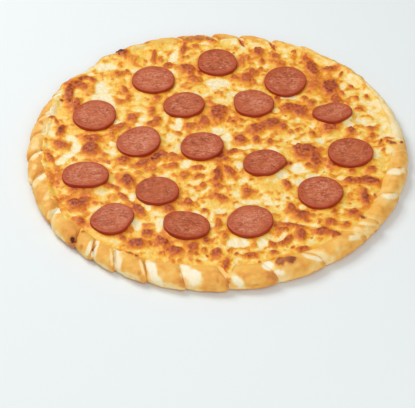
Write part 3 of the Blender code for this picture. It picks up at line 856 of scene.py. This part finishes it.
def seat_slices(flat, height, slices):
    """The cheese's height with a collar and a bed for each slice, and how oily it is near them."""
    oily = np.zeros(len(flat))
    for piece in slices:
        dx, dy = flat[:, 0] - piece.middle[0], flat[:, 1] - piece.middle[1]
        away = np.hypot(dx, dy)
        past = away - piece.radius_at(np.arctan2(dy, dx))
        clamp = np.minimum(1.0, (away - past) / np.maximum(away, 1e-9))
        lower = piece.plane_height(piece.middle[0] + dx * clamp, piece.middle[1] + dy * clamp, -piece.half)
        collar = lower + (COLLAR_HEIGHT_IN_MM + 0.9 * noise(flat, 9 * MM, 61)) * MM
        pull = np.exp(-((np.maximum(past, 0) / COLLAR_REACH) ** 2))
        height = mix(height, collar, pull)
        height = np.where(past < -BED_INSET, lower - BED_GAP, height)
        oily = np.maximum(oily, np.exp(-((np.maximum(past, 0) / OILY_REACH) ** 2)))
    return height, oily


# Materials


def set_socket(tree, socket, value):
    if isinstance(value, bpy.types.NodeSocket):
        tree.links.new(value, socket)
    else:
        socket.default_value = value


def add_node(tree, kind, values=(), **settings):
    node = tree.nodes.new(kind)
    for name, value in settings.items():
        setattr(node, name, value)
    for name, value in dict(values).items():
        set_socket(tree, node.inputs[name], value)
    return node


def math_node(tree, operation, first, second):
    node = tree.nodes.new("ShaderNodeMath")
    node.operation = operation
    for socket, value in zip(node.inputs, (first, second)):
        set_socket(tree, socket, value)
    return node.outputs[0]


def ramp_node(tree, factor, stops):
    """A colour ramp from (place, colour as seen) stops."""
    node = tree.nodes.new("ShaderNodeValToRGB")
    elements = node.color_ramp.elements
    while len(elements) < len(stops):
        elements.new(0.5)
    for element, (place, colour) in zip(elements, stops):
        element.position = place
        element.color = unit_colour(*colour)
    tree.links.new(factor, node.inputs[0])
    return node.outputs[0]


def noise_node(tree, place, feature, detail=3.0, roughness=0.55):
    """Noise with lumps about feature wide, from 0 to 1."""
    values = {"Vector": place, "Scale": 1 / feature, "Detail": detail, "Roughness": roughness}
    return add_node(tree, "ShaderNodeTexNoise", values).outputs["Fac"]


def new_material(name):
    material = bpy.data.materials.new(name)
    material.use_nodes = True
    tree = material.node_tree
    shader = tree.nodes["Principled BSDF"]
    place = tree.nodes.new("ShaderNodeTexCoord").outputs["Object"]
    return material, tree, shader, place


def attribute(tree, name):
    return add_node(tree, "ShaderNodeAttribute", attribute_name=name).outputs["Fac"]


def set_surface(tree, shader, *values):
    """Gives the shader's sockets their values: numbers, or other nodes' outputs."""
    names = ("Base Color", "Roughness", "Specular IOR Level", "Subsurface Weight", "Subsurface Scale")
    for name, value in zip(names, values):
        set_socket(tree, shader.inputs[name], value)


def range_node(tree, value, ranges):
    return add_node(tree, "ShaderNodeMapRange", {"Value": value, **ranges}).outputs[0]


def add_bump(tree, shader, heights, distance, strength):
    bump = add_node(tree, "ShaderNodeBump", {"Height": heights, "Distance": distance, "Strength": strength})
    tree.links.new(bump.outputs["Normal"], shader.inputs["Normal"])


def add_rough_bump(tree, shader, place, sizes, distance, strength):
    """A bump of coarse lumps and fine ones, given by their widths."""
    coarse, fine = sizes
    heights = math_node(tree, "ADD", noise_node(tree, place, coarse, 5), noise_node(tree, place, fine, 3))
    add_bump(tree, shader, heights, distance, strength)


def centred(tree, value, amount):
    """A value from 0 to 1, turned into one about 0 that is amount wide."""
    return math_node(tree, "MULTIPLY", math_node(tree, "SUBTRACT", value, 0.5), amount)


def ragged_toast(tree, place, amount, feature):
    """The stored brownness, made uneven by fine noise."""
    wobble = centred(tree, noise_node(tree, place, feature), amount)
    return math_node(tree, "ADD", attribute(tree, "toast"), wobble)


CRUST_RAMP = (
    (0.00, (253, 243, 216)),
    (0.16, (251, 230, 180)),
    (0.34, (249, 208, 130)),
    (0.50, (243, 182, 86)),
    (0.64, (229, 154, 68)),
    (0.78, (196, 118, 62)),
    (0.90, (150, 78, 44)),
    (1.00, (84, 42, 28)),
)
OILY_DOUGH = (250, 190, 84)

CHEESE_RAMP = (
    (0.00, (254, 246, 222)),
    (0.14, (255, 233, 178)),
    (0.28, (254, 211, 102)),
    (0.42, (249, 180, 54)),
    (0.56, (234, 140, 35)),
    (0.70, (207, 101, 34)),
    (0.84, (173, 77, 26)),
    (0.93, (141, 55, 16)),
    (1.00, (90, 31, 10)),
)
ROUGH_CHEESE = {"From Min": 0.2, "From Max": 0.95, "To Min": 0.28, "To Max": 0.38}

SAUSAGE_RAMP = (
    (0.40, (144, 59, 24)),
    (0.47, (175, 87, 49)),
    (0.528, (198, 110, 76)),
    (0.615, (221, 150, 120)),
)
WARM_FACE = (196, 98, 54)
WARM_SHARE = {"From Min": 0.42, "From Max": 0.62, "To Min": 0.0, "To Max": 0.5}
EDGE_GLOW = (178, 66, 26)
EDGE_DARK = (146, 50, 26)
# The slices' sides and undersides: partly the casing's darker red, partly painted shade on the side walls
SIDE_RED_AND_SHADE = (160, 52, 26)
GLOWING_EDGE = {"From Min": 0.66, "From Max": 0.98, "To Min": 0.0, "To Max": 0.8}
DARK_EDGE = {"From Min": 0.96, "From Max": 1.0, "To Min": 0.0, "To Max": 0.8}


def colour_socket(sockets, name):
    return next(socket for socket in sockets if socket.name == name and socket.type == "RGBA")


def blend(tree, share, first, second):
    """A first colour that turns by share into a second one, given as the eye sees it."""
    node = add_node(tree, "ShaderNodeMix", data_type="RGBA", clamp_factor=True)
    tree.links.new(share, node.inputs["Factor"])
    tree.links.new(first, colour_socket(node.inputs, "A"))
    colour_socket(node.inputs, "B").default_value = unit_colour(*second)
    return colour_socket(node.outputs, "Result")


def crust_material():
    material, tree, shader, place = new_material("baked_dough")
    toast = ragged_toast(tree, place, 0.26, 4 * MM)
    colour = blend(tree, attribute(tree, "oil"), ramp_node(tree, toast, CRUST_RAMP), OILY_DOUGH)
    set_surface(tree, shader, colour, 0.62, 0.35, 0.12, 3 * MM)
    add_rough_bump(tree, shader, place, (3.5 * MM, 1.1 * MM), 0.8 * MM, 0.5)
    return material


def cheese_material():
    material, tree, shader, place = new_material("melted_cheese")
    toast = ragged_toast(tree, place, 0.20, 2.4 * MM)
    colour = ramp_node(tree, toast, CHEESE_RAMP)
    set_surface(tree, shader, colour, range_node(tree, toast, ROUGH_CHEESE), 0.45, 0.18, 3 * MM)
    add_rough_bump(tree, shader, place, (3.0 * MM, 1.4 * MM), 1.2 * MM, 0.6)
    return material


def sausage_material():
    material, tree, shader, place = new_material("cured_sausage")
    blotch = noise_node(tree, place, 7 * MM, 3)
    grain = noise_node(tree, place, 2.0 * MM, 4, 0.68)
    stretched = add_node(tree, "ShaderNodeMapping", {"Vector": place, "Scale": (0.22, 1.0, 1.0)})
    streaks = noise_node(tree, stretched.outputs["Vector"], 1.2 * MM, 2, 0.6)
    mixed = math_node(tree, "MULTIPLY", blotch, 0.26)
    for part, share in ((grain, 0.45), (streaks, 0.29)):
        mixed = math_node(tree, "ADD", mixed, math_node(tree, "MULTIPLY", part, share))
    own_tone = centred(tree, attribute(tree, "tone"), 0.045)
    face = ramp_node(tree, math_node(tree, "ADD", mixed, own_tone), SAUSAGE_RAMP)
    warm = range_node(tree, noise_node(tree, place, 14 * MM, 2), WARM_SHARE)
    face = blend(tree, warm, face, WARM_FACE)
    edge = attribute(tree, "edge")
    colour = blend(tree, range_node(tree, edge, GLOWING_EDGE), face, EDGE_GLOW)
    colour = blend(tree, range_node(tree, edge, DARK_EDGE), colour, EDGE_DARK)
    # Below the top's rounded edge the slice is painted darker red: partly the casing's colour, partly painted
    # shade
    colour = blend(tree, attribute(tree, "side"), colour, SIDE_RED_AND_SHADE)
    set_surface(tree, shader, colour, 0.42, 0.4, 0.08, 2 * MM)
    add_bump(tree, shader, math_node(tree, "ADD", grain, streaks), 0.3 * MM, 0.4)
    return material


# Stage

FLOOR_HALF = 4.0
FLOOR_DROP = 0.1 * MM
FLOOR_COLOUR = (234, 240, 242)

# Soft square lights: name, place, width, watts and colour
LIGHTS = (
    ("window", (-0.8, 0.6, 1.25), 0.8, 14.5, (1.0, 0.99, 0.97)),
    ("fill", (0.4, -1.25, 1.15), 1.2, 11.2, (1.0, 0.985, 0.96)),
)
WORLD_COLOUR = (0.98, 0.99, 1.0, 1.0)
WORLD_STRENGTH = 0.40


def add_camera():
    place, right, up, forward = camera_axes()
    data = bpy.data.cameras.new("camera")
    data.sensor_width = SENSOR_MM
    data.sensor_fit = "HORIZONTAL"
    data.lens = FOCAL_PIXELS / PICTURE_WIDTH * SENSOR_MM
    data.clip_start = 0.05
    data.clip_end = 20.0
    camera = new_object("camera", data)
    turn = Matrix((right, up, -forward)).transposed()
    camera.matrix_world = Matrix.Translation(place) @ turn.to_4x4()
    bpy.context.scene.camera = camera


def add_floor():
    mesh = bpy.data.meshes.new("floor")
    corners = [(x * FLOOR_HALF, y * FLOOR_HALF, 0) for x, y in ((-1, -1), (1, -1), (1, 1), (-1, 1))]
    mesh.from_pydata(corners, [], [(0, 1, 2, 3)])
    floor = new_object("floor", mesh)
    floor.location.z = -FLOOR_DROP
    material, tree, shader, _ = new_material("pale_floor")
    set_surface(tree, shader, unit_colour(*FLOOR_COLOUR), 0.8)
    mesh.materials.append(material)


def add_light(name, place, size, watts, colour):
    """A square soft light that faces the pizza."""
    data = bpy.data.lights.new(name, "AREA")
    data.size = size
    data.energy = watts
    data.color = colour
    light = new_object(name, data)
    light.location = place
    light.rotation_euler = (-Vector(place)).to_track_quat("-Z", "Y").to_euler()


def add_lights():
    for light in LIGHTS:
        add_light(*light)
    world = bpy.data.worlds.new("studio")
    world.use_nodes = True
    background = world.node_tree.nodes["Background"]
    background.inputs["Color"].default_value = WORLD_COLOUR
    background.inputs["Strength"].default_value = WORLD_STRENGTH
    bpy.context.scene.world = world
    bpy.context.scene.view_settings.view_transform = "Standard"


def main():
    slices = [Slice(f"sausage_{number:02d}", corners) for number, corners in enumerate(SLICE_CORNERS, 1)]
    crust = make_crust()
    crust.data.materials.append(crust_material())
    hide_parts("crust")
    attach(crust, "root")
    cheese = make_cheese(slices)
    cheese.data.materials.append(cheese_material())
    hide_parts("cheese")
    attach(cheese, "root")
    sausage = sausage_material()
    for number, piece in enumerate(slices, 1):
        make_slice(number, piece, sausage)
    add_camera()
    add_floor()
    add_lights()


main()
